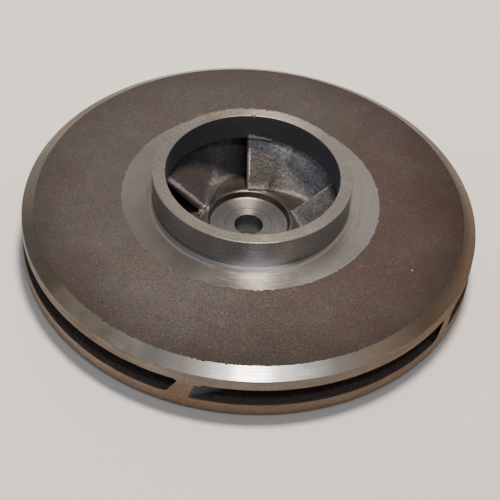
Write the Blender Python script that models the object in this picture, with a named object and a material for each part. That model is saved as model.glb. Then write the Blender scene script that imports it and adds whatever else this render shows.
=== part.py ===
"""Closed pump impeller: one iron casting, modelled as the named forms it is made of.

A back shroud and a front shroud hold five wrapped vanes between them.  The hub stands in the middle of
the back shroud, and the suction neck stands round the eye on the front shroud.
Metres, +Z up.  The shaft axis is Z, and the back face lies on the plane Z = 0.
"""
import math

import bmesh
import bpy
from mathutils import Vector

# Driving sizes of the turned casting
OUTER_RADIUS = 0.1200
RIM_TOP_Z = 0.0253
OUTLET_TOP_Z = 0.0193
OUTLET_FLOOR_Z = 0.0083
BACK_CHAMFER = 0.0018

# The bevel turned on the rim, and the flat land turned round the neck
BEVEL_INNER_RADIUS = 0.1132
BEVEL_INNER_Z = 0.0296
LAND_RADIUS = 0.0679
LAND_Z = 0.0344

# Suction neck, whose bore is the eye
NECK_RADIUS = 0.0522
EYE_RADIUS = 0.0455
NECK_TOP_Z = 0.0512
NECK_EDGE = 0.0004

# Hub with its swept foot, its turned seat and the bore for the shaft
HUB_RADIUS = 0.0440
HUB_LIP_RADIUS = 0.0220
HUB_LIP_WIDTH = 0.0014
HUB_LIP_Z = 0.0174
SEAT_RADIUS = 0.0208
SEAT_Z = 0.0140
BORE_RADIUS = 0.0076
BORE_EDGE = 0.0006

# The passage floor sweeps up to the hub, and its roof flares up to the eye
FLOOR_SWEEP_LENGTH = 0.0168
ROOF_SLOPE = 0.145
ROOF_FLARE_LENGTH = 0.0090
HUB_FLOOR_STEPS = 5
SHROUD_FLOOR_STEPS = 6
ROOF_STEPS = 9

# Vanes.  Each one starts in a radial plane at the eye and wraps backwards to the rim.
VANE_COUNT = 5
FIRST_LEADING_ANGLE = math.radians(96.0)
WRAP_AT_FLOOR = math.radians(202.0)
WRAP_AT_ROOF = math.radians(199.0)
SPIRAL_START_RADIUS = 0.0195
SPIRAL_STEEPENING = 1.31
FOOT_LEADING_RADIUS = 0.0230
FOOT_BLEND_POWER = 12
ROOF_LEADING_RADIUS = 0.0480
ROOF_GROWTH_POWER = 1.50
VANE_THICKNESS_AT_FLOOR = 0.0052
VANE_THICKNESS_AT_ROOF = 0.0030
NOSE_LENGTH = 0.0026
NOSE_START = 0.15
VANE_LEVELS = 4
VANE_STATIONS = 34
SAMPLES_PER_VANE = 240
WRAP_OVERRUN = 1.15
NOSE_CROWDING = 1.6
SEATING_ROUNDS = 40
SLOPE_STEP = 0.001

# Clearance that stands for fused metal where curved surfaces meet
JOINT_GAP = 0.0003

# Facets round every turned piece: whole quarters, and the same number for each vane
TURN_SEGMENTS = 80
SMOOTH_ANGLE = math.radians(28.0)

CAST_COLOUR = (0.112, 0.093, 0.083, 1.0)
INNER_COLOUR = (0.085, 0.082, 0.080, 1.0)
TURNED_COLOUR = (0.300, 0.285, 0.265, 1.0)


def clear_scene():
    """Remove whatever the file holds before the model is made."""
    for item in list(bpy.data.objects):
        bpy.data.objects.remove(item, do_unlink=True)


def iron(name, colour, roughness):
    """Material of one sub-part: bare iron, as cast or as turned."""
    material = bpy.data.materials.new(name)
    material.use_nodes = True
    shader = material.node_tree.nodes["Principled BSDF"]
    shader.inputs["Base Color"].default_value = colour
    shader.inputs["Metallic"].default_value = 0.85
    shader.inputs["Roughness"].default_value = roughness
    material.diffuse_color = colour
    return material


def add_object(name, bm, material):
    """Turn a finished bmesh into the named object of one sub-part."""
    bmesh.ops.recalc_face_normals(bm, faces=bm.faces)
    mesh = bpy.data.meshes.new(name)
    bm.to_mesh(mesh)
    bm.free()
    mesh.materials.append(material)
    mesh.shade_smooth()
    mesh.set_sharp_from_angle(angle=SMOOTH_ANGLE)
    item = bpy.data.objects.new(name, mesh)
    bpy.context.collection.objects.link(item)
    return item


def floor_z(radius):
    """Height of the passage floor: low at the rim, swept up to the hub lip."""
    start = HUB_LIP_RADIUS + HUB_LIP_WIDTH
    run = max(radius - start, 0.0)
    rise = HUB_LIP_Z - OUTLET_FLOOR_Z
    return OUTLET_FLOOR_Z + rise * math.exp(-run / FLOOR_SWEEP_LENGTH)


def roof_z(radius):
    """Height of the passage roof: a cone that flares up into the wall of the eye."""
    run = max(radius - EYE_RADIUS, 0.0)
    cone = OUTLET_TOP_Z + (OUTER_RADIUS - EYE_RADIUS - run) * ROOF_SLOPE
    flare = LAND_Z - OUTLET_TOP_Z - (OUTER_RADIUS - EYE_RADIUS) * ROOF_SLOPE
    return cone + flare * math.exp(-run / ROOF_FLARE_LENGTH)


def stepped_radii(first, last, steps):
    """Radii from first to last whose steps grow outwards, where the curves run straighter."""
    ratio = last / first
    return [first * ratio ** (index / steps) for index in range(steps + 1)]


def turned_piece(name, profile, material):
    """Spin a closed profile of (radius, z) points about the shaft axis."""
    bm = bmesh.new()
    ring = [bm.verts.new((radius, 0.0, z)) for radius, z in profile]
    edges = [bm.edges.new((ring[i - 1], ring[i])) for i in range(len(ring))]
    bmesh.ops.spin(
        bm,
        geom=ring + edges,
        cent=(0.0, 0.0, 0.0),
        axis=(0.0, 0.0, 1.0),
        angle=math.tau,
        steps=TURN_SEGMENTS,
        use_merge=True,
    )
    return add_object(name, bm, material)


def make_hub():
    """Boss with a bore, a turned seat inside a lip, and a foot that sweeps out into the floor."""
    lip_end = HUB_LIP_RADIUS + HUB_LIP_WIDTH
    sweep = [(radius, floor_z(radius)) for radius in stepped_radii(lip_end, HUB_RADIUS, HUB_FLOOR_STEPS)]
    profile = [
        (BORE_RADIUS + BORE_EDGE, 0.0),
        (BORE_RADIUS, BORE_EDGE),
        (BORE_RADIUS, SEAT_Z - BORE_EDGE),
        (BORE_RADIUS + BORE_EDGE, SEAT_Z),
        (SEAT_RADIUS, SEAT_Z),
        (HUB_LIP_RADIUS, HUB_LIP_Z),
    ]
    profile += sweep
    profile.append((HUB_RADIUS, 0.0))
    return turned_piece("hub", profile, iron("hub_turned_iron", TURNED_COLOUR, 0.38))


def make_back_shroud():
    """Disc behind the vanes, turned flat at the back and chamfered at its lower edge."""
    inner = HUB_RADIUS + JOINT_GAP
    radii = stepped_radii(inner, OUTER_RADIUS, SHROUD_FLOOR_STEPS)
    profile = [(radius, floor_z(radius)) for radius in radii]
    profile += [
        (OUTER_RADIUS, BACK_CHAMFER),
        (OUTER_RADIUS - BACK_CHAMFER, 0.0),
        (inner, 0.0),
    ]
    return turned_piece("back_shroud", profile, iron("back_shroud_iron", CAST_COLOUR, 0.62))


def make_front_shroud():
    """Coned disc over the vanes, with the turned rim bevel and the turned land round the neck."""
    radii = stepped_radii(EYE_RADIUS, OUTER_RADIUS, ROOF_STEPS)
    profile = [(radius, roof_z(radius)) for radius in radii]
    profile += [
        (OUTER_RADIUS, RIM_TOP_Z),
        (BEVEL_INNER_RADIUS, BEVEL_INNER_Z),
        (LAND_RADIUS, LAND_Z),
    ]
    return turned_piece("front_shroud", profile, iron("front_shroud_iron", CAST_COLOUR, 0.60))


def make_suction_neck():
    """Ring round the eye, turned inside, outside and on top.  It stands on the land."""
    profile = [
        (EYE_RADIUS, LAND_Z),
        (EYE_RADIUS, NECK_TOP_Z - NECK_EDGE),
        (EYE_RADIUS + NECK_EDGE, NECK_TOP_Z),
        (NECK_RADIUS - NECK_EDGE, NECK_TOP_Z),
        (NECK_RADIUS, NECK_TOP_Z - NECK_EDGE),
        (NECK_RADIUS, LAND_Z),
    ]
    return turned_piece("suction_neck", profile, iron("neck_turned_iron", TURNED_COLOUR, 0.34))


def foot_radius(share):
    """Radius of a vane's foot line: a spiral that starts steeply, trimmed by the turning of the seat."""
    growth = share * math.log(OUTER_RADIUS / SPIRAL_START_RADIUS)
    growth += SPIRAL_STEEPENING * share * (1.0 - min(share, 1.0)) ** 2
    spiral = SPIRAL_START_RADIUS * math.exp(growth)
    blended = spiral ** FOOT_BLEND_POWER + FOOT_LEADING_RADIUS ** FOOT_BLEND_POWER
    return blended ** (1.0 / FOOT_BLEND_POWER)


def top_radius(share):
    """Radius of a vane's line on the roof, which leaves the eye nearly along the circle."""
    return ROOF_LEADING_RADIUS * (OUTER_RADIUS / ROOF_LEADING_RADIUS) ** (share ** ROOF_GROWTH_POWER)


def inner_face(share, level):
    """Point of a vane's inner face, the one that looks at the shaft, for a leading angle of zero.

    share is the part of the wrap that has been run, and level goes from the floor (0) to the roof (1).
    """
    foot = foot_radius(share)
    top = top_radius(share)
    radius = foot + (top - foot) * level
    angle = -share * (WRAP_AT_FLOOR + (WRAP_AT_ROOF - WRAP_AT_FLOOR) * level)
    height = floor_z(foot) + (roof_z(top) - floor_z(foot)) * level
    return Vector((radius * math.cos(angle), radius * math.sin(angle), height))


def height_line(share):
    """Unit direction of the vane's height, from floor to roof."""
    return (inner_face(share, 1.0) - inner_face(share, 0.0)).normalized()


def outward_normal(share, level):
    """Unit normal of the inner face, turned away from the shaft axis."""
    along = inner_face(share + SLOPE_STEP, level) - inner_face(share, level)
    normal = along.cross(height_line(share)).normalized()
    return normal if normal.xy.dot(inner_face(share, level).xy) > 0.0 else -normal


def thickness(level):
    """Full thickness of the vane, drafted from floor to roof."""
    return VANE_THICKNESS_AT_FLOOR + (VANE_THICKNESS_AT_ROOF - VANE_THICKNESS_AT_FLOOR) * level


def nose_share(share, level):
    """Part of the full thickness at this place: less over the rounded nose, then all of it."""
    run = inner_face(0.0, level).xy.length * share * WRAP_AT_FLOOR
    rounding = min(NOSE_START + run / NOSE_LENGTH, 1.0)
    return math.sqrt(1.0 - (1.0 - rounding) ** 2)


def side_point(side, share, level):
    """Point of one side of the vane, which is outer (1) or inner (-1)."""
    offset = 0.5 * thickness(level) * (1.0 + side * nose_share(share, level))
    return inner_face(share, level) + outward_normal(share, level) * offset


def seat_between_shrouds(point, level, across):
    """Slide a foot or top point along the vane's height until it clears the shroud by the gap."""
    if level == 0.0:
        target = floor_z
        gap = JOINT_GAP
    elif level == 1.0:
        target = roof_z
        gap = -JOINT_GAP
    else:
        return point
    for _ in range(SEATING_ROUNDS):
        miss = target(point.xy.length) + gap - point.z
        point = point + across * (miss / across.z)
    return point


def side_curve(side, level):
    """Dense points of one edge of a vane's side, from the nose to where it leaves the rim circle."""
    points = []
    for index in range(SAMPLES_PER_VANE + 1):
        share = WRAP_OVERRUN * (index / SAMPLES_PER_VANE) ** NOSE_CROWDING
        point = seat_between_shrouds(side_point(side, share, level), level, height_line(share))
        radius = point.xy.length
        if radius >= OUTER_RADIUS:
            before = points[-1]
            part = (OUTER_RADIUS - before.xy.length) / (radius - before.xy.length)
            points.append(before.lerp(point, part))
            return points
        points.append(point)
    return points


def resampled(points):
    """The vane's stations along one curve: close together at the nose, wider towards the rim."""
    lengths = [0.0]
    for i in range(1, len(points)):
        lengths.append(lengths[-1] + (points[i] - points[i - 1]).length)
    result = []
    upper = 1
    for station in range(VANE_STATIONS + 1):
        wanted = lengths[-1] * (station / VANE_STATIONS) ** NOSE_CROWDING
        while upper < len(points) - 1 and lengths[upper] < wanted:
            upper += 1
        span = lengths[upper] - lengths[upper - 1]
        part = min((wanted - lengths[upper - 1]) / span, 1.0)
        result.append(points[upper - 1].lerp(points[upper], part))
    return result


def lay_on_shroud(point, level):
    """Put a resampled foot or top point back at its exact height over the faceted curve."""
    if level == 0.0:
        return Vector((point.x, point.y, floor_z(point.xy.length) + JOINT_GAP))
    if level == 1.0:
        return Vector((point.x, point.y, roof_z(point.xy.length) - JOINT_GAP))
    return point


def column_face(bm, first, second):
    """Join two columns of vertices by a strip of faces."""
    for i in range(len(first) - 1):
        bm.faces.new((first[i], second[i], second[i + 1], first[i + 1]))


def vane_mesh():
    """One vane with its leading edge on the +X plane, lofted along its wrap."""
    bm = bmesh.new()
    levels = [index / VANE_LEVELS for index in range(VANE_LEVELS + 1)]
    sides = []
    for side in (1.0, -1.0):
        curves = [resampled(side_curve(side, level)) for level in levels]
        columns = []
        for station in range(VANE_STATIONS + 1):
            column = [lay_on_shroud(curves[k][station], level) for k, level in enumerate(levels)]
            columns.append([bm.verts.new(point) for point in column])
        sides.append(columns)
    outer, inner = sides

    # The two sides, the foot and the top
    for i in range(VANE_STATIONS):
        column_face(bm, outer[i], outer[i + 1])
        column_face(bm, inner[i], inner[i + 1])
        bm.faces.new((outer[i][0], outer[i + 1][0], inner[i + 1][0], inner[i][0]))
        bm.faces.new((outer[i][-1], outer[i + 1][-1], inner[i + 1][-1], inner[i][-1]))

    # The nose, and the land that the rim's turning leaves on the vane's tip
    column_face(bm, outer[0], inner[0])
    land = []
    for start, end in zip(outer[-1], inner[-1]):
        middle = (start.co + end.co) * 0.5
        middle.xy = middle.xy.normalized() * OUTER_RADIUS
        land.append(bm.verts.new(middle))
    column_face(bm, outer[-1], land)
    column_face(bm, land, inner[-1])
    bm.faces.new((outer[-1][0], land[0], inner[-1][0]))
    bm.faces.new((outer[-1][-1], land[-1], inner[-1][-1]))
    return bm


def make_vanes():
    """The vanes, alike and evenly spaced round the shaft axis."""
    items = []
    for index in range(VANE_COUNT):
        name = "vane_%d" % (index + 1)
        item = add_object(name, vane_mesh(), iron(name + "_iron", INNER_COLOUR, 0.66))
        item.rotation_euler.z = FIRST_LEADING_ANGLE - index * math.tau / VANE_COUNT
        items.append(item)
    return items


clear_scene()
impeller = bpy.data.objects.new("impeller", None)
bpy.context.collection.objects.link(impeller)
pieces = [make_back_shroud(), make_hub(), make_front_shroud(), make_suction_neck()] + make_vanes()
for piece in pieces:
    piece.parent = impeller
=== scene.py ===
import math

import bmesh
import bpy
from mathutils import Matrix, Vector, noise


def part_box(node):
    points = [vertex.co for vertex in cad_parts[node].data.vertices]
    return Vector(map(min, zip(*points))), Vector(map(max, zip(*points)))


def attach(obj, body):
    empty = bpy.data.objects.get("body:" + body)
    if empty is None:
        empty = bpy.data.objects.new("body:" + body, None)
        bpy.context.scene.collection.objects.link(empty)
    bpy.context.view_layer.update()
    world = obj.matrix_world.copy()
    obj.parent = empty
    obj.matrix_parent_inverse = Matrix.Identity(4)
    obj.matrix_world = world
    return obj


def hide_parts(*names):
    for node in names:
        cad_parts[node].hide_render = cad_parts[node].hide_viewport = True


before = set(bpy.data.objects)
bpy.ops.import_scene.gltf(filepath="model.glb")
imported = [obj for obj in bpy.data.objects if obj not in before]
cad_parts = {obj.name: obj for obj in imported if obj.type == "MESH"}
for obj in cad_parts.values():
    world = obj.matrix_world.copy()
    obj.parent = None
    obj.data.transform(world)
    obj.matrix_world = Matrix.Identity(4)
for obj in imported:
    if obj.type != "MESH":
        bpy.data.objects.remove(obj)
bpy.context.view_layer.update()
MM = 0.001

# View of the wheel
# The wheel lies on a table and is seen from above the near rim, through a long lens
# that is held slightly out of level.
VIEW_LENS = 109.28
VIEW_SENSOR = 36.0
VIEW_ELEVATION = math.radians(44.75)
VIEW_ROLL = math.radians(5.02)
VIEW_DISTANCE = 821.8 * MM
VIEW_RIGHT = 1.60 * MM
VIEW_UP = -3.91 * MM

view_ahead = Vector((0.0, math.cos(VIEW_ELEVATION), -math.sin(VIEW_ELEVATION)))
level_right = Vector((1.0, 0.0, 0.0))
level_up = level_right.cross(view_ahead)
camera_right = math.cos(VIEW_ROLL) * level_right + math.sin(VIEW_ROLL) * level_up
camera_up = math.cos(VIEW_ROLL) * level_up - math.sin(VIEW_ROLL) * level_right
camera_data = bpy.data.cameras.new("camera")
camera_data.lens = VIEW_LENS
camera_data.sensor_width = VIEW_SENSOR
camera = bpy.data.objects.new("camera", camera_data)
camera.matrix_world = Matrix((camera_right, camera_up, -view_ahead)).transposed().to_4x4()
camera.location = camera_right * VIEW_RIGHT + camera_up * VIEW_UP - view_ahead * VIEW_DISTANCE
bpy.context.scene.collection.objects.link(camera)
bpy.context.scene.camera = camera

# Back disc
# The flat disc behind the vanes, of grey cast iron.  Its upper face is the passage floor, as the
# sand mould left it; its rim and its back are turned, and the rim has browned with rust.
DISC_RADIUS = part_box("back_shroud")[1].x
HUB_FOOT_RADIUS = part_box("hub")[1].x
OUTLET_FLOOR = 8.3 * MM
LIP_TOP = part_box("hub")[1].z
LIP_OUTER_RADIUS = 23.4 * MM
FLOOR_SWEEP = 16.8 * MM
BACK_CHAMFER = 1.8 * MM
CUT_EDGE = 0.35 * MM
FINE_STEP = 1.2 * MM
COARSE_STEP = 3 * MM
BACK_STEP = 9 * MM
BACK_TURNS = 640
WEDGES = 16
MERGE = 0.001 * MM
EDGE_STEPS = 3
CREASE = math.radians(35.0)
FLOOR_ABOVE = 4 * MM
RIM_BAND = 0.6 * MM
# Patterns of the finishes, in bumps to the metre
SAND_COUNT = 560.0
MOTTLE_COUNT = 130.0
CLOUD_COUNT = 38.0
HAZE_COUNT = 21.0
BLUSH_COUNT = 55.0
STAIN_COUNT = 45.0
SPOT_COUNT = 160.0
PIT_COUNT = 900.0
PIT_DEPTH = 0.04 * MM
# Lathe marks: rings to the metre, and bumps along each
FINE_RINGS = (2400.0, 5.0)
COARSE_RINGS = (700.0, 9.0)
SIDE_COLOUR_FADE = 0.35
RING_SHEEN = (0.55, 0.53, 0.50, 1.0)
# Where the cast skin's tint changes towards the rim, more so towards EDGE_AZIMUTH: browning and
# painted shade on the front disc, painted light in the passages
EDGE_FROM = 86 * MM
EDGE_TO = 113 * MM
EDGE_STRAY = 4 * MM
EDGE_AZIMUTH = -70.0
ALL_ROUND = 180.0
TONE_CORE = 0.4
# Finishes of its faces, in the order of its materials
FLOOR, RIM, BACK = range(3)


def floor_height(radius):
    """Passage floor over the back face: low at the rim, swept up to the hub's lip."""
    run = max(radius - LIP_OUTER_RADIUS, 0.0)
    return OUTLET_FLOOR + (LIP_TOP - OUTLET_FLOOR) * math.exp(-run / FLOOR_SWEEP)


def even_steps(first, last, step):
    """Values from first to last, about a step apart."""
    count = max(round(abs(last - first) / step), 1)
    return [first + (last - first) * i / count for i in range(count + 1)]


def softened(corners):
    """Outline from corners (radius, z, rounding), each eased over its rounding."""
    points = []
    for i, (radius, z, rounding) in enumerate(corners):
        here = Vector((radius, z))
        if not rounding:
            points.append(here)
            continue
        before = (Vector(corners[i - 1][:2]) - here).normalized()
        after = (Vector(corners[(i + 1) % len(corners)][:2]) - here).normalized()
        start = here + before * rounding
        end = here + after * rounding
        for k in range(EDGE_STEPS + 1):
            t = k / EDGE_STEPS
            points.append(start * (1 - t) ** 2 + here * 2 * t * (1 - t) + end * t ** 2)
    return points


def spun(outline, turns):
    """Body of revolution about the shaft axis from a closed outline of (radius, z) points."""
    bm = bmesh.new()
    ring = [bm.verts.new((radius, 0.0, z)) for radius, z in outline]
    edges = [bm.edges.new((ring[i - 1], ring[i])) for i in range(len(ring))]
    bmesh.ops.spin(
        bm,
        geom=ring + edges,
        cent=(0, 0, 0),
        axis=(0, 0, 1),
        angle=math.tau / WEDGES,
        steps=turns // WEDGES,
    )
    wedges = WEDGES
    while wedges > 1:
        copy = bmesh.ops.duplicate(bm, geom=bm.verts[:] + bm.edges[:] + bm.faces[:])
        verts = [item for item in copy["geom"] if isinstance(item, bmesh.types.BMVert)]
        turn = Matrix.Rotation(math.tau / wedges, 3, "Z")
        bmesh.ops.rotate(bm, cent=(0, 0, 0), matrix=turn, verts=verts)
        wedges //= 2
    bmesh.ops.remove_doubles(bm, verts=bm.verts, dist=MERGE)
    bmesh.ops.recalc_face_normals(bm, faces=bm.faces)
    return bm


def uneven(point, size, seed=0.0):
    """Random height, about -1 to 1, whose bumps are about that size."""
    return noise.noise(point / size + Vector((seed, seed, seed)))


def sand_skin(point, seed=0.0):
    """Unevenness of a face that a sand mould left, in metres."""
    broad = 0.10 * MM * uneven(point, 9 * MM, seed)
    medium = 0.07 * MM * uneven(point, 3.2 * MM, seed)
    return broad + medium + 0.05 * MM * uneven(point, 1.4 * MM, seed)


def finished_piece(name, bm, materials, replaced):
    """Makes a piece of a bmesh, smooth but for its creases and where its finish changes."""
    for edge in bm.edges:
        finishes = {face.material_index for face in edge.link_faces}
        edge.smooth = len(finishes) == 1 and edge.calc_face_angle(0.0) < CREASE
    for face in bm.faces:
        face.smooth = True
    mesh = bpy.data.meshes.new(name)
    bm.to_mesh(mesh)
    bm.free()
    for material in materials:
        mesh.materials.append(material)
    piece = bpy.data.objects.new(name, mesh)
    bpy.context.scene.collection.objects.link(piece)
    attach(piece, "root")
    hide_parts(*replaced)


def add_node(tree, kind, links=None, **settings):
    """Shader node with its settings, and its inputs given as values or as sockets."""
    node = tree.nodes.new("ShaderNode" + kind)
    for key, value in settings.items():
        setattr(node, key, value)
    for key, value in (links or {}).items():
        if isinstance(value, bpy.types.NodeSocket):
            tree.links.new(value, node.inputs[key])
        else:
            node.inputs[key].default_value = value
    return node


def new_iron(name, metallic):
    """Fresh material, its tree, its shader and the place on the piece."""
    material = bpy.data.materials.new(name)
    material.use_nodes = True
    tree = material.node_tree
    shader = tree.nodes["Principled BSDF"]
    shader.inputs["Metallic"].default_value = metallic
    place = add_node(tree, "TexCoord").outputs["Object"]
    return material, tree, shader, place


def speckle(tree, place, scale, detail=4.0, roughness=0.6):
    """Random value over the surface, so many bumps a metre."""
    links = {"Vector": place, "Scale": scale, "Detail": detail, "Roughness": roughness}
    return add_node(tree, "TexNoise", links).outputs["Fac"]


def ramped(tree, value, low, high, to_low=0.0, to_high=1.0):
    """The part of a value between low and high, stretched and held at the ends."""
    links = {"Value": value, "From Min": low, "From Max": high, "To Min": to_low, "To Max": to_high}
    return add_node(tree, "MapRange", links, clamp=True).outputs["Result"]


def blended(tree, share, first, second, blend_type="MIX"):
    """Colour between two, by a share from 0 to 1."""
    mix = add_node(tree, "Mix", data_type="RGBA", blend_type=blend_type)
    for socket, value in ((mix.inputs[0], share), (mix.inputs[6], first), (mix.inputs[7], second)):
        if isinstance(value, bpy.types.NodeSocket):
            tree.links.new(value, socket)
        elif socket == mix.inputs[0]:
            socket.default_value = value
        else:
            socket.default_value = (*value, 1.0)
    return mix.outputs[2]


def reckoned(tree, operation, first, second):
    """Sum, product and so on of two values."""
    node = add_node(tree, "Math", operation=operation)
    for socket, value in zip(node.inputs, (first, second)):
        if isinstance(value, bpy.types.NodeSocket):
            tree.links.new(value, socket)
        else:
            socket.default_value = value
    return node.outputs[0]


def mingled(tree, share, first, second):
    """Two values together, by that share of the first and the rest of the second."""
    part = reckoned(tree, "MULTIPLY", first, share)
    return reckoned(tree, "ADD", part, reckoned(tree, "MULTIPLY", second, 1.0 - share))


def raised(tree, height, depth, under=None):
    """Bump of that depth in metres, over another bump."""
    links = {"Height": height, "Distance": depth, "Strength": 1.0}
    if under:
        links["Normal"] = under
    return add_node(tree, "Bump", links).outputs["Normal"]


def polar(tree, place):
    """Distance from the shaft axis, and the way from it as a flat vector of length one."""
    parts = add_node(tree, "SeparateXYZ", {"Vector": place}).outputs
    flat = add_node(tree, "CombineXYZ", {"X": parts["X"], "Y": parts["Y"]}).outputs[0]
    radius = add_node(tree, "VectorMath", {0: flat}, operation="LENGTH").outputs["Value"]
    way = add_node(tree, "VectorMath", {0: flat}, operation="NORMALIZE").outputs["Vector"]
    return radius, way


def towards(tree, way, azimuth, low, high):
    """Share from 0 to 1 as the way from the shaft turns towards an azimuth in degrees."""
    turn = math.radians(azimuth)
    links = {0: way, 1: (math.cos(turn), math.sin(turn), 0.0)}
    facing = add_node(tree, "VectorMath", links, operation="DOT_PRODUCT").outputs["Value"]
    return ramped(tree, facing, low, high)


def sand_cast_iron(name, dark, light, painted_glint, side_tint, side_azimuth, side_reach, side_fade, olive, blush,
                   edge, rust, metallic, roughness, grain_count, sand_depth, grain_depth):
    """Skin that the sand left: grainy, clouded with oxide, tinted to one side and at the rim.

    There are about grain_count grains to the metre, and specks of painted_glint among them are
    painted glints.  The side tint lies round side_azimuth as far as side_reach to each side, both in
    degrees, and fades over side_fade of the cosine."""
    material, tree, shader, place = new_iron(name, metallic)
    shader.inputs["Specular IOR Level"].default_value = 0.35
    radius, way = polar(tree, place)
    grain = speckle(tree, place, grain_count, 3.0, 0.8)
    sand = speckle(tree, place, SAND_COUNT, 3.0)
    mottle = speckle(tree, place, MOTTLE_COUNT)
    cloud = speckle(tree, place, CLOUD_COUNT)
    haze = speckle(tree, place, HAZE_COUNT, 3.0)
    coat = mingled(tree, 0.8, grain, mottle)
    colour = blended(tree, ramped(tree, coat, 0.36, 0.64), dark, light)
    # Specks of painted_glint on the grain are painted glints
    colour = blended(tree, ramped(tree, grain, 0.61, 0.73), colour, painted_glint)
    middle = math.cos(math.radians(side_reach))
    side = towards(tree, way, side_azimuth, middle - side_fade, middle + side_fade)
    clouds = mingled(tree, 0.5, cloud, mottle)
    clouded = reckoned(tree, "ADD", side, ramped(tree, clouds, 0.3, 0.7, -0.5, 0.5))
    colour = blended(tree, ramped(tree, clouded, 0.0, 1.0), colour, side_tint, "MULTIPLY")
    colour = blended(tree, ramped(tree, haze, 0.42, 0.62), colour, olive, "MULTIPLY")
    flush = ramped(tree, speckle(tree, place, BLUSH_COUNT, 3.0), 0.45, 0.62)
    colour = blended(tree, flush, colour, blush, "MULTIPLY")
    stray = ramped(tree, cloud, 0.3, 0.7, -EDGE_STRAY, EDGE_STRAY)
    near_rim = ramped(tree, reckoned(tree, "ADD", radius, stray), EDGE_FROM, EDGE_TO)
    facing = towards(tree, way, EDGE_AZIMUTH, -0.7, 0.4)
    near_rim = reckoned(tree, "MULTIPLY", near_rim, ramped(tree, facing, 0.0, 1.0, 0.45, 1.0))
    colour = blended(tree, near_rim, colour, edge, "MULTIPLY")
    spots = reckoned(tree, "MULTIPLY", ramped(tree, mottle, 0.67, 0.76), 0.5)
    colour = blended(tree, spots, colour, rust)
    tree.links.new(colour, shader.inputs["Base Color"])
    matt = ramped(tree, grain, 0.3, 0.7, roughness + 0.1, roughness - 0.1)
    tree.links.new(matt, shader.inputs["Roughness"])
    bump = raised(tree, sand, sand_depth)
    bump = raised(tree, grain, grain_depth, bump)
    tree.links.new(bump, shader.inputs["Normal"])
    return material


def turned_iron(name, dull, bright, side_colour, side_colour_azimuth, side_colour_reach, rust, rust_from, pitted,
                roughness, anisotropy, mark_depth, metallic=0.9):
    """Face cut on the lathe: fine rings round the shaft, a streaked shine, a colour to one side.

    The side colour lies round side_colour_azimuth as far as side_colour_reach to each side, both in
    degrees.  Rust fills the pits by the share pitted, and stands in spots, more of them the lower
    rust_from is."""
    material, tree, shader, place = new_iron(name, metallic)
    radius, way = polar(tree, place)
    height = add_node(tree, "SeparateXYZ", {"Vector": place}).outputs["Z"]
    way_parts = add_node(tree, "SeparateXYZ", {"Vector": way}).outputs
    rings = []
    for count, around in (FINE_RINGS, COARSE_RINGS):
        spot = add_node(tree, "CombineXYZ", {
            "X": reckoned(tree, "MULTIPLY", radius, count),
            "Y": reckoned(tree, "MULTIPLY", height, count),
            "Z": reckoned(tree, "MULTIPLY", way_parts["X"], around),
        }).outputs[0]
        links = {
            "Vector": spot,
            "W": reckoned(tree, "MULTIPLY", way_parts["Y"], around),
            "Scale": 1.0,
            "Detail": 3.0,
            "Roughness": 0.6,
        }
        rings.append(add_node(tree, "TexNoise", links, noise_dimensions="4D").outputs["Fac"])
    fine, coarse = rings
    marks = mingled(tree, 0.7, fine, coarse)
    colour = blended(tree, ramped(tree, marks, 0.30, 0.70), dull, bright)
    middle = math.cos(math.radians(side_colour_reach))
    share = towards(tree, way, side_colour_azimuth, middle - SIDE_COLOUR_FADE, middle + SIDE_COLOUR_FADE)
    cloudy = ramped(tree, speckle(tree, place, STAIN_COUNT, 6.0, 0.7), 0.3, 0.7, -0.3, 0.3)
    side_share = ramped(tree, reckoned(tree, "ADD", share, cloudy), 0.0, 1.0)
    colour = blended(tree, side_share, colour, side_colour)
    grain = speckle(tree, place, PIT_COUNT, 3.0, 0.8)
    pits = ramped(tree, grain, 0.35, 0.62, 1.0, 0.0)
    colour = blended(tree, reckoned(tree, "MULTIPLY", pits, pitted), colour, rust)
    spotted = ramped(tree, speckle(tree, place, SPOT_COUNT, 5.0, 0.7), rust_from, rust_from + 0.10)
    spots = reckoned(tree, "MULTIPLY", spotted, 0.7)
    colour = blended(tree, spots, colour, rust)
    tree.links.new(colour, shader.inputs["Base Color"])
    smoothness = ramped(tree, marks, 0.3, 0.7, 1.5 * roughness, 0.6 * roughness)
    dulled = reckoned(tree, "MULTIPLY", reckoned(tree, "ADD", spots, side_share), 0.2)
    tree.links.new(reckoned(tree, "ADD", smoothness, dulled), shader.inputs["Roughness"])
    shader.inputs["Specular Tint"].default_value = RING_SHEEN
    shader.inputs["Anisotropic"].default_value = anisotropy
    shader.inputs["Anisotropic Rotation"].default_value = 0.25
    tangent = add_node(tree, "Tangent", direction_type="RADIAL", axis="Z").outputs[0]
    tree.links.new(tangent, shader.inputs["Tangent"])
    bump = raised(tree, marks, mark_depth)
    bump = raised(tree, grain, PIT_DEPTH * pitted, bump)
    tree.links.new(bump, shader.inputs["Normal"])
    return material


def toned(material, tones):
    """Adds broad changes of tone: (azimuth, reach to each side, tint) for each, angles in degrees.

    A measure, "radius" or "height", and two values of it may follow.  The tint then sets in as the
    measure goes from the first value to the second."""
    tree = material.node_tree
    shader = tree.nodes["Principled BSDF"]
    colour = shader.inputs["Base Color"].links[0].from_socket
    place = add_node(tree, "TexCoord").outputs["Object"]
    radius, way = polar(tree, place)
    height = add_node(tree, "SeparateXYZ", {"Vector": place}).outputs["Z"]
    for azimuth, reach, tint, *limits in tones:
        share = 1.0
        if reach < ALL_ROUND:
            faded = math.cos(math.radians(reach))
            share = towards(tree, way, azimuth, faded, math.cos(math.radians(TONE_CORE * reach)))
        if limits:
            measure, start, full = limits
            measured = ramped(tree, radius if measure == "radius" else height, start, full)
            share = reckoned(tree, "MULTIPLY", share, measured)
        colour = blended(tree, share, colour, tint, "MULTIPLY")
    tree.links.new(colour, shader.inputs["Base Color"])


# The passages' rim tint lightens them near the rim, most in front: painted light in the slots.
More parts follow.
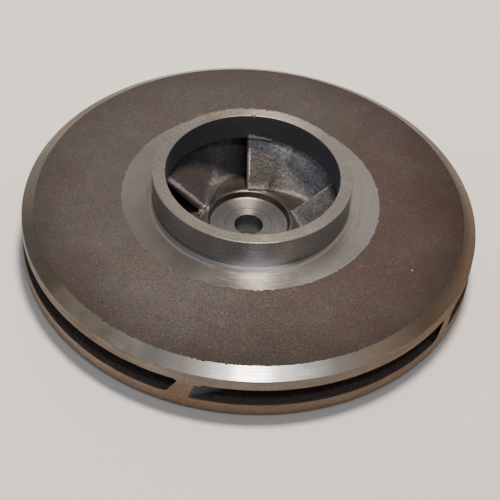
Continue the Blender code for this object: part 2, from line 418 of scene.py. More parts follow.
passage_iron = sand_cast_iron(
    "passage_iron",
    dark=(0.024, 0.022, 0.0215),
    light=(0.058, 0.054, 0.053),
    painted_glint=(0.095, 0.09, 0.088),
    side_tint=(0.90, 0.80, 0.74),
    side_azimuth=-15.0,
    side_reach=72.0,
    side_fade=0.6,
    olive=(0.98, 0.96, 0.90),
    blush=(1.0, 0.95, 0.97),
    edge=(2.6, 2.4, 2.2),
    rust=(0.10, 0.05, 0.03),
    metallic=0.0,
    roughness=0.60,
    grain_count=1000.0,
    sand_depth=0.10 * MM,
    grain_depth=0.10 * MM,
)
rim_iron = turned_iron(
    "rim_iron",
    dull=(0.31, 0.275, 0.24),
    bright=(0.45, 0.415, 0.375),
    side_colour=(0.32, 0.25, 0.19),
    side_colour_azimuth=-40.0,
    side_colour_reach=80.0,
    rust=(0.17, 0.11, 0.075),
    rust_from=0.64,
    pitted=0.5,
    roughness=0.50,
    anisotropy=0.3,
    mark_depth=0.02 * MM,
)
# Tones on the rims: the back disc's rim lighter in front as painted light, warmer with rust, and darker
# round -152 degrees as painted shade; the front disc's rim lighter and bluer at -176 and -88 degrees as
# painted highlights, darker at -137 and -8 degrees as painted shade.
toned(rim_iron, (
    (-104.0, 62.0, (1.16, 1.04, 0.98), "height", 10 * MM, 7 * MM),
    (-152.0, 24.0, (0.92, 0.88, 0.84), "height", 10 * MM, 7 * MM),
    (-176.0, 20.0, (1.50, 1.54, 1.60), "height", 17 * MM, 20 * MM),
    (-137.0, 30.0, (0.80, 0.80, 0.78), "height", 17 * MM, 20 * MM),
    (-88.0, 36.0, (1.08, 1.20, 1.35), "height", 17 * MM, 20 * MM),
    (-8.0, 24.0, (0.70, 0.66, 0.62), "height", 17 * MM, 20 * MM),
))
back_iron = turned_iron(
    "back_iron",
    dull=(0.22, 0.20, 0.18),
    bright=(0.38, 0.36, 0.33),
    side_colour=(0.24, 0.17, 0.12),
    side_colour_azimuth=20.0,
    side_colour_reach=60.0,
    rust=(0.20, 0.11, 0.06),
    rust_from=0.62,
    pitted=0.2,
    roughness=0.38,
    anisotropy=0.8,
    mark_depth=0.01 * MM,
)

back_outline = softened([
    (HUB_FOOT_RADIUS, floor_height(HUB_FOOT_RADIUS), 0),
    *[(r, floor_height(r), 0) for r in even_steps(HUB_FOOT_RADIUS, DISC_RADIUS - 1 * MM, COARSE_STEP)[1:]],
    (DISC_RADIUS, floor_height(DISC_RADIUS), CUT_EDGE),
    (DISC_RADIUS, BACK_CHAMFER, CUT_EDGE),
    (DISC_RADIUS - BACK_CHAMFER, 0.0, CUT_EDGE),
    *[(r, 0.0, 0) for r in even_steps(DISC_RADIUS - 6 * MM, HUB_FOOT_RADIUS, BACK_STEP)],
])
back_disc = spun(back_outline, BACK_TURNS)
for vert in back_disc.verts:
    if vert.co.z > FLOOR_ABOVE:
        vert.co.z += sand_skin(vert.co)
for face in back_disc.faces:
    if face.calc_center_median().xy.length > DISC_RADIUS - RIM_BAND or face.normal.xy.length > 0.6:
        face.material_index = RIM
    else:
        face.material_index = FLOOR if face.normal.z > 0.5 else BACK
finished_piece(
    "back_disc", back_disc, [passage_iron, rim_iron, back_iron], ["back_shroud"]
)

# Hub
# The boss in the middle of the back disc, cast with it.  Its seat for the shaft's nut is turned
# inside a thin lip, its bore is reamed for the shaft, and its foot sweeps out into the floor.
LIP_INNER_RADIUS = 22.0 * MM
SEAT_RADIUS = 20.8 * MM
SEAT_HEIGHT = 14.0 * MM
SEAT_FILLET = 0.5 * MM
BORE_RADIUS = 7.6 * MM
BORE_EDGE = 0.2 * MM
RELIEF_RADIUS = 12.4 * MM
RELIEF_DEPTH = 0.25 * MM
HUB_TURNS = 480
FOOT_ABOVE = 9 * MM
FOOT_SKIN_FADE = 2 * MM
PATCH_WOBBLE = 600.0
LONGEST_STRAY = 5 * MM
FOOT, SEAT, UNDERSIDE, BORE = range(4)


def divided(points, step):
    """The closed outline with its long runs divided, so that the skin can be uneven."""
    result = []
    for i, here in enumerate(points):
        after = points[(i + 1) % len(points)]
        count = max(round((after - here).length / step), 1)
        result += [here.lerp(after, k / count) for k in range(count)]
    return result


def blotched(material, tint, stains):
    """Adds ragged patches of a tint: (angle round the shaft in degrees, radius, reach, strength) for each.

    They are rust stains on some faces and painted highlights on others.
    """
    tree = material.node_tree
    shader = tree.nodes["Principled BSDF"]
    colour = shader.inputs["Base Color"].links[0].from_socket
    place = add_node(tree, "TexCoord").outputs["Object"]
    links = {"Vector": place, "Scale": PATCH_WOBBLE, "Detail": 4.0}
    wobble = add_node(tree, "TexNoise", links).outputs["Color"]
    for angle, radius, reach, strength in stains:
        turn = math.radians(angle)
        stray = min(2.2 * reach, LONGEST_STRAY)
        links = {0: wobble, 1: (stray,) * 3, 2: place}
        ragged = add_node(tree, "VectorMath", links, operation="MULTIPLY_ADD").outputs["Vector"]
        parts = add_node(tree, "SeparateXYZ", {"Vector": ragged}).outputs
        flat = add_node(tree, "CombineXYZ", {"X": parts["X"], "Y": parts["Y"]}).outputs[0]
        goal = (radius * math.cos(turn) + 0.5 * stray, radius * math.sin(turn) + 0.5 * stray, 0.0)
        away = add_node(tree, "VectorMath", {0: flat, 1: goal}, operation="DISTANCE").outputs["Value"]
        colour = blended(tree, ramped(tree, away, 0.2 * reach, reach, strength, 0.0), colour, tint)
    tree.links.new(colour, shader.inputs["Base Color"])


seat_iron = turned_iron(
    "seat_iron",
    dull=(0.18, 0.175, 0.167),
    bright=(0.254, 0.248, 0.24),
    side_colour=(0.20, 0.17, 0.148),
    side_colour_azimuth=-60.0,
    side_colour_reach=10.0,
    rust=(0.14, 0.11, 0.09),
    rust_from=0.70,
    pitted=0.25,
    roughness=0.33,
    anisotropy=0.85,
    mark_depth=0.003 * MM,
)
bore_iron = turned_iron(
    "bore_iron",
    dull=(0.12, 0.12, 0.126),
    bright=(0.23, 0.23, 0.24),
    side_colour=(0.15, 0.135, 0.12),
    side_colour_azimuth=90.0,
    side_colour_reach=10.0,
    rust=(0.08, 0.075, 0.075),
    rust_from=0.66,
    pitted=0.4,
    roughness=0.45,
    anisotropy=0.5,
    mark_depth=0.010 * MM,
)
hub_foot_iron = passage_iron.copy()
hub_foot_iron.name = "hub_foot_iron"
# Painted light and shade round the hub: the floor darker round 112 and 42 degrees, painted highlights by
# the lip round 74 degrees, and pale patches at 88 and 74 degrees as painted highlights on the lip's top
# edge and the first vane's foot.
toned(hub_foot_iron, (
    (112.0, 24.0, (0.60, 0.58, 0.58), "radius", 35 * MM, 28 * MM),
    (42.0, 22.0, (0.72, 0.70, 0.70), "radius", 35 * MM, 28 * MM),
    (74.0, 36.0, (2.4, 2.35, 2.3), "radius", 26.5 * MM, 24.5 * MM),
))
blotched(hub_foot_iron, (0.34, 0.31, 0.29), (
    (88.0, 24.0 * MM, 2.0 * MM, 0.8),
    (74.0, 24.4 * MM, 2.2 * MM, 0.8),
))
# The lip's top is darker all round; painted shade dims the seat's highlight round 88 degrees, and painted
# light lightens its right side.
toned(seat_iron, (
    (0.0, 180.0, (0.62, 0.60, 0.58), "radius", 21.4 * MM, 22.0 * MM),
    (88.0, 34.0, (0.62, 0.62, 0.62), "radius", 20.6 * MM, 19.4 * MM),
    (-5.0, 50.0, (1.25, 1.25, 1.24)),
))
hub_bore_iron = bore_iron.copy()
hub_bore_iron.name = "hub_bore_iron"
# The bore is darker and cooler all round, and painted light lightens it towards its foot.
toned(hub_bore_iron, (
    (0.0, 180.0, (0.50, 0.56, 0.60)),
    (0.0, 180.0, (3.4, 3.3, 2.9), "height", 8 * MM, 0.5 * MM),
))
hub_bore_iron.node_tree.nodes["Principled BSDF"].inputs["Metallic"].default_value = 0.3
hub_outline = softened([
    (BORE_RADIUS, 0.0, BORE_EDGE),
    (BORE_RADIUS, SEAT_HEIGHT - RELIEF_DEPTH, BORE_EDGE),
    (RELIEF_RADIUS, SEAT_HEIGHT - RELIEF_DEPTH, 0),
    (RELIEF_RADIUS + RELIEF_DEPTH, SEAT_HEIGHT, 0),
    (SEAT_RADIUS, SEAT_HEIGHT, SEAT_FILLET),
    (LIP_INNER_RADIUS, LIP_TOP, CUT_EDGE / 2),
    (LIP_OUTER_RADIUS, LIP_TOP, 0),
    *[(r, floor_height(r), 0) for r in even_steps(LIP_OUTER_RADIUS, HUB_FOOT_RADIUS, FINE_STEP)[1:]],
    (HUB_FOOT_RADIUS, 0.0, 0),
])
hub = spun(divided(hub_outline, FINE_STEP), HUB_TURNS)
for vert in hub.verts:
    past_lip = vert.co.xy.length - LIP_OUTER_RADIUS
    if past_lip > -0.8 * MM and vert.co.z > FOOT_ABOVE:
        vert.co.z += sand_skin(vert.co) * min(past_lip / FOOT_SKIN_FADE + 0.5, 1.0)
for face in hub.faces:
    middle = face.calc_center_median()
    radius = middle.xy.length
    cast = radius > LIP_OUTER_RADIUS - 0.3 * MM and face.normal.z > 0.3
    lip_wall = radius > SEAT_RADIUS + 0.1 * MM and SEAT_HEIGHT < middle.z < LIP_TOP - 0.2 * MM
    if cast or lip_wall:
        face.material_index = FOOT
    elif radius < BORE_RADIUS + 0.2 * MM:
        face.material_index = BORE
    else:
        face.material_index = UNDERSIDE if face.normal.z < -0.3 else SEAT
finished_piece(
    "hub_boss", hub, [hub_foot_iron, seat_iron, back_iron, hub_bore_iron], ["hub"]
)

# Vanes
# Five curved vanes, cast in one with both discs.  Each starts at the hub's lip, leans out to the
# roof and wraps back to the rim, where the lathe cut its tip.  Fillets join it to floor and roof.
VANE_COUNT = 5
FIRST_LEADING_ANGLE = math.radians(96.0)
WRAP_AT_FLOOR = math.radians(202.0)
WRAP_AT_ROOF = math.radians(199.0)
SPIRAL_START = 19.5 * MM
SPIRAL_STEEPENING = 1.31
FOOT_START = 23.0 * MM
FOOT_BLEND = 12
ROOF_START = 48.0 * MM
ROOF_GROWTH = 1.5
THICK_AT_FLOOR = 5.2 * MM
THICK_AT_ROOF = 3.0 * MM
NOSE_LENGTH = 1.4 * MM
FLOOR_FILLET = 2.0 * MM
WIDE_FOOT = 1.8
WIDE_FOOT_FROM = 0.02
WIDE_FOOT_TO = 0.42
ROOF_FILLET = 1.6 * MM
SUNK = 0.15 * MM
EYE_RADIUS = 45.5 * MM
EYE_WALL_FOOT = 35.7 * MM
BORED_TO = 32.5 * MM
LEDGE_SNAP = 1.5 * MM
OUTLET_TOP = 19.3 * MM
ROOF_SLOPE = 0.145
ROOF_FLARE = 6.5 * MM
VANE_STATIONS = 230
STATION_CROWDING = 1.5
NOSE_STATIONS = 13
WIDE_NOSE_STATIONS = 19
WALL_ROWS = 14
FILLET_ROWS = 5
TIP_STEPS = 4
SMALL_STEP = 0.001
HALVINGS = 24
NEAR = 0.2 * MM
SKIN, TIP, BORED, NOSE, LEDGE, SCAR = range(6)


def roof_height(radius):
    """Passage roof over the back face: a cone that flares up to the foot of the eye's wall."""
    run = max(radius - EYE_RADIUS, 0.0)
    cone = OUTLET_TOP + (DISC_RADIUS - EYE_RADIUS - run) * ROOF_SLOPE
    flare = EYE_WALL_FOOT - OUTLET_TOP - (DISC_RADIUS - EYE_RADIUS) * ROOF_SLOPE
    return cone + flare * math.exp(-run / ROOF_FLARE)


def vane_face(share, level):
    """Point of the vane's shaft side after that share of its wrap, from floor (0) to roof (1)."""
    growth = share * math.log(DISC_RADIUS / SPIRAL_START)
    growth += SPIRAL_STEEPENING * share * (1 - min(share, 1)) ** 2
    spiral = SPIRAL_START * math.exp(growth)
    foot = FOOT_START * (1 + (spiral / FOOT_START) ** FOOT_BLEND) ** (1 / FOOT_BLEND)
    top = ROOF_START * (DISC_RADIUS / ROOF_START) ** (share ** ROOF_GROWTH)
    radius = foot + (top - foot) * level
    angle = -share * (WRAP_AT_FLOOR + (WRAP_AT_ROOF - WRAP_AT_FLOOR) * level)
    height = floor_height(foot) + (roof_height(top) - floor_height(foot)) * level
    return Vector((radius * math.cos(angle), radius * math.sin(angle), height))


def vane_rows():
    """Rows from floor to roof: (share of the height, height within a fillet, fillet's reach)."""
    rows = []
    for k in range(FILLET_ROWS):
        turn = math.radians(90.0 * k / FILLET_ROWS)
        rows.append((0.0, FLOOR_FILLET * (1 - math.cos(turn)), FLOOR_FILLET * (1 - math.sin(turn))))
    rows += [(k / WALL_ROWS, None, 0.0) for k in range(WALL_ROWS + 1)]
    for k in reversed(range(FILLET_ROWS)):
        turn = math.radians(90.0 * k / FILLET_ROWS)
        rows.append((1.0, ROOF_FILLET * (1 - math.cos(turn)), ROOF_FILLET * (1 - math.sin(turn))))
    return rows


def vane_point(side, share, row, wide_foot):
    """Point of one side of the vane, outer (1) or shaft side (-1), in one of its rows.

    A wide foot sweeps the shaft side's floor fillet out by that share of its size."""
    level, rise, reach = row
    foot = vane_face(share, 0.0)
    top = vane_face(share, 1.0)
    up = (top - foot).normalized()
    tall = (top - foot).length
    floor_fillet = FLOOR_FILLET
    if side < 0 and WIDE_FOOT_FROM < share < WIDE_FOOT_TO:
        along_foot = (share - WIDE_FOOT_FROM) / (WIDE_FOOT_TO - WIDE_FOOT_FROM)
        floor_fillet *= 1.0 + wide_foot * math.sin(math.pi * along_foot ** 0.6) ** 2
    if rise is not None and level == 0.0:
        rise *= floor_fillet / FLOOR_FILLET
        reach *= floor_fillet / FLOOR_FILLET
    if rise is None:
        level = (floor_fillet + (tall - floor_fillet - ROOF_FILLET) * level) / tall
    else:
        level = rise / tall if level == 0.0 else 1.0 - rise / tall
    here = vane_face(share, level)
    along = vane_face(share + SMALL_STEP, level) - here
    out = along.cross(up).normalized()
    if out.xy.dot(here.xy) < 0.0:
        out = -out
    thick = THICK_AT_FLOOR + (THICK_AT_ROOF - THICK_AT_FLOOR) * level
    rounding = min(here.xy.length * share * WRAP_AT_FLOOR / NOSE_LENGTH, 1.0)
    width = math.sqrt(1.0 - (1.0 - rounding) ** 2)
    point = here + out * (0.5 * thick * (1.0 + side * width) + side * reach)
    if rise is not None:
        low = row[0] == 0.0
        surface = floor_height if low else roof_height
        fillet = floor_fillet if low else ROOF_FILLET
        shift = surface(point.xy.length) - surface(here.xy.length)
        point.z += shift * (1.0 - rise / fillet)
        if rise == 0.0:
            point.z = surface(point.xy.length) + (-SUNK if low else SUNK)
    return point


def share_at_rim(side, row, wide_foot):
    """Share of the wrap after which that row of that side reaches the rim."""
    low, high = 0.5, 1.2
    for _ in range(HALVINGS):
        middle = 0.5 * (low + high)
        if vane_point(side, middle, row, wide_foot).xy.length < DISC_RADIUS:
            low = middle
        else:
            high = middle
    return low


def vane_mesh(wide_foot, nose_stations):
    """One vane with its leading edge over +X, bent from a grid: shaft side, nose, outer side, tip."""
    rows = vane_rows()
    ends = {(side, row): share_at_rim(side, row, wide_foot) for side in (-1, 1) for row in rows}
    stations = 2 * VANE_STATIONS + TIP_STEPS
    bm = bmesh.new()
    grid = bmesh.ops.create_grid(bm, x_segments=stations, y_segments=len(rows) - 1, size=1.0)
    on_nose = set()
    for vert in grid["verts"]:
        station = round((vert.co.x + 1) / 2 * stations) - VANE_STATIONS
        row = rows[round((vert.co.y + 1) / 2 * (len(rows) - 1))]
        if station > VANE_STATIONS:
            part = (station - VANE_STATIONS) / TIP_STEPS
            outer_end = vane_point(1, ends[1, row], row, wide_foot)
            vert.co = outer_end.lerp(vane_point(-1, ends[-1, row], row, wide_foot), part)
        else:
            side = 1 if station > 0 else -1
            share = ends[side, row] * (abs(station) / VANE_STATIONS) ** STATION_CROWDING
            vert.co = vane_point(side, share, row, wide_foot)
        if abs(station) <= nose_stations * (1 + 0.3 * uneven(vert.co, 1.5 * MM, 2.0)):
            on_nose.add(vert)
        if abs(station) >= VANE_STATIONS:
            vert.co.xy = vert.co.xy.normalized() * DISC_RADIUS
        if vert.co.xy.length < EYE_RADIUS:
            if vert.co.z > BORED_TO:
                vert.co.xy = vert.co.xy.normalized() * EYE_RADIUS
            if BORED_TO < vert.co.z < BORED_TO + LEDGE_SNAP:
                vert.co.z = BORED_TO
            elif BORED_TO - 0.5 * LEDGE_SNAP < vert.co.z < BORED_TO:
                along = vane_face(share, 1.0) - vane_face(share, 0.0)
                vert.co += along * ((BORED_TO - vert.co.z) / along.z)
    for face in bm.faces:
        face.material_index = NOSE if all(vert in on_nose for vert in face.verts) else SKIN
    bmesh.ops.remove_doubles(bm, verts=bm.verts, dist=0.01 * MM)
    bmesh.ops.holes_fill(bm, edges=[edge for edge in bm.edges if edge.is_boundary], sides=0)
    bmesh.ops.recalc_face_normals(bm, faces=bm.faces)
    return bm


# The vanes' side tint is painted shade: it darkens them to a third, all but round 50 degrees.
vane_iron = sand_cast_iron(
    "vane_iron",
    dark=(0.105, 0.108, 0.118),
    light=(0.31, 0.315, 0.335),
    painted_glint=(0.62, 0.62, 0.65),
    side_tint=(0.33, 0.325, 0.32),
    side_azimuth=230.0,
    side_reach=163.0,
    side_fade=0.04,
    olive=(0.97, 0.95, 0.92),
    blush=(1.0, 0.96, 0.96),
    edge=(1.0, 1.0, 1.0),
    rust=(0.09, 0.055, 0.04),
    metallic=0.35,
    roughness=0.55,
    grain_count=750.0,
    sand_depth=0.28 * MM,
    grain_depth=0.38 * MM,
)
# Darker, glossier iron for the last vane; its side tint darkens it round 160 degrees as painted shade.
darker_vane_iron = sand_cast_iron(
    "darker_vane_iron",
    dark=(0.105, 0.106, 0.110),
    light=(0.24, 0.238, 0.245),
    painted_glint=(0.40, 0.385, 0.38),
    side_tint=(0.62, 0.58, 0.57),
    side_azimuth=160.0,
    side_reach=30.0,
    side_fade=0.2,
    olive=(0.96, 0.97, 0.92),
    blush=(1.0, 0.92, 0.94),
    edge=(1.0, 1.0, 1.0),
    rust=(0.09, 0.055, 0.04),
    metallic=0.6,
    roughness=0.40,
    grain_count=700.0,
    sand_depth=0.22 * MM,
    grain_depth=0.16 * MM,
)
# Paler iron for the vanes' leading edges and the crumbs: a painted highlight along each nose and painted
# glints on the crumbs.
nose_iron = sand_cast_iron(
    "nose_iron",
    dark=(0.19, 0.175, 0.172),
    light=(0.46, 0.42, 0.415),
    painted_glint=(0.70, 0.64, 0.62),
    side_tint=(0.80, 0.70, 0.68),
    side_azimuth=168.0,
    side_reach=30.0,
    side_fade=0.2,
    olive=(1.0, 0.97, 0.95),
    blush=(1.0, 0.90, 0.92),
    edge=(1.0, 1.0, 1.0),
    rust=(0.14, 0.07, 0.05),
    metallic=0.7,
    roughness=0.50,
    grain_count=750.0,
    sand_depth=0.28 * MM,
    grain_depth=0.28 * MM,
)
# Sand's skin on the eye's wall and on the first vane's bored strip, near white: painted light that makes
# it show lit in the eye's shade.
painted_lit_scar_iron = sand_cast_iron(
    "painted_lit_scar_iron",
    dark=(0.50, 0.49, 0.48),
    light=(0.90, 0.88, 0.86),
    painted_glint=(1.0, 0.99, 0.98),
    side_tint=(0.9, 0.85, 0.82),
    side_azimuth=97.0,
    side_reach=8.0,
    side_fade=0.01,
    olive=(1.0, 1.0, 1.0),
    blush=(1.0, 0.95, 0.95),
    edge=(1.0, 1.0, 1.0),
    rust=(0.14, 0.07, 0.05),
    metallic=0.0,
    roughness=0.60,
    grain_count=750.0,
    sand_depth=0.28 * MM,
    grain_depth=0.38 * MM,
)
SCRAPS = (
    # Crumbs at the last vane's foot: angle round the shaft in degrees, radius, height and size
    (168.0, 24.2 * MM, 16.9 * MM, 1.9 * MM),
    (162.0, 23.8 * MM, 17.0 * MM, 1.4 * MM),
    (173.5, 25.3 * MM, 16.3 * MM, 1.6 * MM),
    (157.5, 23.0 * MM, 17.2 * MM, 1.0 * MM),
    (170.0, 26.6 * MM, 16.0 * MM, 1.1 * MM),
    (178.0, 25.6 * MM, 16.0 * MM, 0.9 * MM),
)
# Painted light and shade on the first four vanes: lighter near the eye's wall round 84 degrees where the
# neck shades them, lighter round 47, 63 and 66 degrees, darker low round 59 degrees, and painted
# highlights along the feet round 89 and 4 degrees.
toned(vane_iron, (
    (84.0, 20.0, (5.0, 5.0, 5.2), "radius", 40.5 * MM, 44.5 * MM),
    (47.0, 25.0, (1.62, 1.62, 1.62)),
    (63.0, 20.0, (1.26, 1.25, 1.22)),
    (66.0, 17.0, (1.80, 1.75, 1.70), "height", 24 * MM, 31 * MM),
    (59.0, 18.0, (0.56, 0.56, 0.56), "height", 26 * MM, 20 * MM),
    (89.0, 18.0, (3.0, 2.9, 2.8), "height", 19.5 * MM, 17.5 * MM),
    (4.0, 26.0, (1.9, 1.8, 1.8), "height", 21 * MM, 16 * MM),
))
# Painted sheen in pale patches low on the last vane round 125 degrees, then painted shade round 158
# degrees and painted light round 112 degrees.
blotched(darker_vane_iron, (0.42, 0.39, 0.385), (
    (129.5, 35.0 * MM, 2.2 * MM, 0.6),
    (125.0, 37.2 * MM, 2.6 * MM, 0.75),
    (121.0, 40.4 * MM, 2.4 * MM, 0.6),
))
toned(darker_vane_iron, (
    (158.0, 22.0, (0.84, 0.82, 0.80)),
    (112.0, 14.0, (1.35, 1.35, 1.38)),
))
# Painted light: the nose band is bluer at 24 degrees and lighter and bluer at 96 and 168 degrees.
toned(nose_iron, (
    (24.0, 24.0, (0.90, 0.98, 1.02)),
    (96.0, 20.0, (1.00, 1.14, 1.22)),
    (168.0, 26.0, (0.98, 1.08, 1.15)),
))
plain_vane = vane_mesh(0.0, NOSE_STATIONS)
wide_footed_vane = vane_mesh(WIDE_FOOT, WIDE_NOSE_STATIONS)
for index in range(VANE_COUNT):
    first = index == 0
    last = index == VANE_COUNT - 1
    vane = (wide_footed_vane if last else plain_vane).copy()
    turn = Matrix.Rotation(FIRST_LEADING_ANGLE - index * math.tau / VANE_COUNT, 4, "Z")
    bmesh.ops.transform(vane, matrix=turn, verts=vane.verts)
    vane.normal_update()
    for vert in vane.verts:
        if vert.co.xy.length < DISC_RADIUS - 0.3 * MM:
            vert.co += vert.normal * sand_skin(vert.co, index)
    for face in vane.faces:
        middle = face.calc_center_median()
        bored = middle.z > BORED_TO - NEAR and middle.xy.length < EYE_RADIUS + 0.3 * MM
        on_ledge = bored and middle.z < BORED_TO + NEAR and face.normal.z > 0.7
        if middle.xy.length > DISC_RADIUS - NEAR:
            face.material_index = TIP
        elif on_ledge and not first:
            face.material_index = LEDGE
        # The first vane's bored strip takes the scar's pale iron, painted light under the eye's wall
        elif bored:
            face.material_index = SCAR if first else BORED
    for angle, radius, height, size in SCRAPS if last else ():
        turn = math.radians(angle)
        spot = Matrix.Translation((radius * math.cos(turn), radius * math.sin(turn), height))
        crumb = bmesh.ops.create_icosphere(vane, subdivisions=3, radius=size, matrix=spot)
        for vert in crumb["verts"]:
            vert.co += (vert.co - spot.translation) * 0.9 * uneven(vert.co, 0.6 * MM, 6.0)
        for face in {face for vert in crumb["verts"] for face in vert.link_faces}:
            face.material_index = NOSE
    name = "vane_%d" % (index + 1)
    side_iron = darker_vane_iron if last else vane_iron
    finished_piece(
        "cast_" + name,
        vane,
        [side_iron, rim_iron, bore_iron, nose_iron, seat_iron, painted_lit_scar_iron],
        [name],
    )
plain_vane.free()
wide_footed_vane.free()

# Front disc
# The coned disc over the vanes, cast with them.  Its top keeps the sand's brown skin, but for a
# flat land turned round the neck and a bevel turned on the rim, whose edges wander with the skin.
LAND_HEIGHT = 34.4 * MM
LAND_RADIUS = 67.9 * MM
BEVEL_RADIUS = 113.2 * MM
BEVEL_HEIGHT = 29.6 * MM
BEVEL_STEEP = 0.88
RIM_TOP = 25.3 * MM
NECK_RADIUS = 52.2 * MM
NECK_FILLET = 0.12 * MM
# Crescent of painted light where the lamp's shadow of the neck falls on the land in front
SHADE_AZIMUTH = -100.0
SHADE_REACH = 4.0 * MM
SHADE_FADE = 0.9 * MM
PAINTED_LIGHT_COLOUR = (0.39, 0.36, 0.33)
LAND_METALLIC = 0.7
FRONT_TURNS = 720
TOP_LAST_RADIUS = 118.5 * MM
BORDER_STRAY = 0.5 * MM
BORDER_BUMP = 1.6 * MM
TOP, LAND, OUTER_RIM, ROOF, BEVEL = range(5)
# Radii of the top's rings, closest where a cut edge wanders
TOP_RADII = [
    *even_steps(NECK_RADIUS + NECK_FILLET, 65 * MM, 2.0 * MM),
    *even_steps(65.4 * MM, 71 * MM, 0.4 * MM),
    *even_steps(72 * MM, 110 * MM, FINE_STEP),
    *even_steps(110.5 * MM, 112.9 * MM, 0.4 * MM),
    BEVEL_RADIUS - 0.1 * MM,
    BEVEL_RADIUS,
    BEVEL_RADIUS + 0.1 * MM,
    *even_steps(113.6 * MM, 115.6 * MM, 0.4 * MM),
    117 * MM,
    TOP_LAST_RADIUS,
]


def top_height(radius, skin):
    """Top of the front disc: the cast cone, cut down to the land and to the bevel."""
    down_cone = (radius - LAND_RADIUS) / (BEVEL_RADIUS - LAND_RADIUS)
    down_bevel = (radius - BEVEL_RADIUS) / (DISC_RADIUS - BEVEL_RADIUS)
    cone = LAND_HEIGHT - down_cone * (LAND_HEIGHT - BEVEL_HEIGHT)
    bevel = BEVEL_HEIGHT - down_bevel * (BEVEL_HEIGHT - RIM_TOP)
    return min(cone + skin, LAND_HEIGHT, bevel)


def painted_light_at_foot(material):
    """Paints light into the lamp's shadow of the neck on the land in front: a crescent that is metal
    no more but paler.
    """
    tree = material.node_tree
    shader = tree.nodes["Principled BSDF"]
    radius, way = polar(tree, add_node(tree, "TexCoord").outputs["Object"])
    facing = towards(tree, way, SHADE_AZIMUTH, 0.0, 1.0)
    run = reckoned(tree, "SUBTRACT", radius, NECK_RADIUS)
    depth = reckoned(tree, "SUBTRACT", reckoned(tree, "MULTIPLY", facing, SHADE_REACH), run)
    within = ramped(tree, depth, -SHADE_FADE, SHADE_FADE)
    crescent = reckoned(tree, "MULTIPLY", within, ramped(tree, facing, 0.0, 0.3))
    colour = shader.inputs["Base Color"].links[0].from_socket
    tree.links.new(blended(tree, crescent, colour, PAINTED_LIGHT_COLOUR), shader.inputs["Base Color"])
    metallic = ramped(tree, crescent, 0.0, 1.0, LAND_METALLIC, 0.0)
    tree.links.new(metallic, shader.inputs["Metallic"])


skin_iron = sand_cast_iron(
    "skin_iron",
    dark=(0.033, 0.029, 0.0285),
    light=(0.089, 0.078, 0.077),
    painted_glint=(0.155, 0.14, 0.136),
    side_tint=(0.76, 0.50, 0.40),
    side_azimuth=-15.0,
    side_reach=60.0,
    side_fade=0.55,
    olive=(0.95, 0.98, 0.88),
    blush=(1.02, 0.93, 0.95),
    edge=(0.43, 0.34, 0.295),
    rust=(0.16, 0.07, 0.035),
    metallic=0.2,
    roughness=0.62,
    grain_count=1300.0,
    sand_depth=0.05 * MM,
    grain_depth=0.07 * MM,
)
land_iron = turned_iron(
    "land_iron",
    dull=(0.21, 0.196, 0.182),
    bright=(0.28, 0.264, 0.246),
    side_colour=(0.20, 0.187, 0.174),
    side_colour_azimuth=178.0,
    side_colour_reach=50.0,
    rust=(0.15, 0.125, 0.11),
    rust_from=0.70,
    pitted=0.25,
    roughness=0.24,
    anisotropy=0.92,
    mark_depth=0.003 * MM,
    metallic=LAND_METALLIC,
)
bevel_iron = turned_iron(
    "bevel_iron",
    dull=(0.23, 0.21, 0.19),
    bright=(0.34, 0.315, 0.29),
    side_colour=(0.22, 0.14, 0.085),
    side_colour_azimuth=-20.0,
    side_colour_reach=42.0,
    rust=(0.20, 0.10, 0.05),
    rust_from=0.64,
    pitted=0.1,
    roughness=0.16,
    anisotropy=0.7,
    mark_depth=0.004 * MM,
)
blotched(skin_iron, (0.19, 0.085, 0.042), (
    (-94.0, 74.7 * MM, 3.0 * MM, 0.26),
    (-95.8, 89.3 * MM, 2.8 * MM, 0.34),
    (-88.7, 103.8 * MM, 2.4 * MM, 0.20),
    (-133.4, 69.9 * MM, 2.2 * MM, 0.14),
    (-20.0, 86.0 * MM, 4.0 * MM, 0.12),
    (177.0, 86.2 * MM, 2.8 * MM, 0.16),
    (54.6, 104.5 * MM, 3.0 * MM, 0.18),
))
# Painted light and shade on the skin: lighter and bluer round -118 degrees as painted sheen, darker in
# front beyond 74 mm and again near the bevel as painted shade, and browner near the rim round -12 degrees.
toned(skin_iron, (
    (-118.0, 24.0, (1.10, 1.11, 1.14)),
    (-90.0, 20.0, (0.80, 0.78, 0.76), "radius", 104 * MM, 109 * MM),
    (-88.0, 34.0, (0.82, 0.79, 0.78), "radius", 74 * MM, 80 * MM),
    (-12.0, 50.0, (1.0, 0.92, 0.84), "radius", 98 * MM, 110 * MM),
))
# Painted glint: one tiny pale speck at -26 degrees
blotched(skin_iron, (0.62, 0.60, 0.56), ((-26.1, 94.4 * MM, 0.5 * MM, 0.8),))
# Painted sheen: a paler patch widens the land's highlight towards -62 degrees.
blotched(land_iron, (0.40, 0.375, 0.35), ((-62.0, 62.0 * MM, 24.0 * MM, 0.7),))
# Painted highlight: a pale patch round -84 degrees brightens the band that the front lamps draw on the
# bevel.
blotched(bevel_iron, (0.78, 0.75, 0.71), ((-84.0, 117.0 * MM, 38.0 * MM, 1.0),))
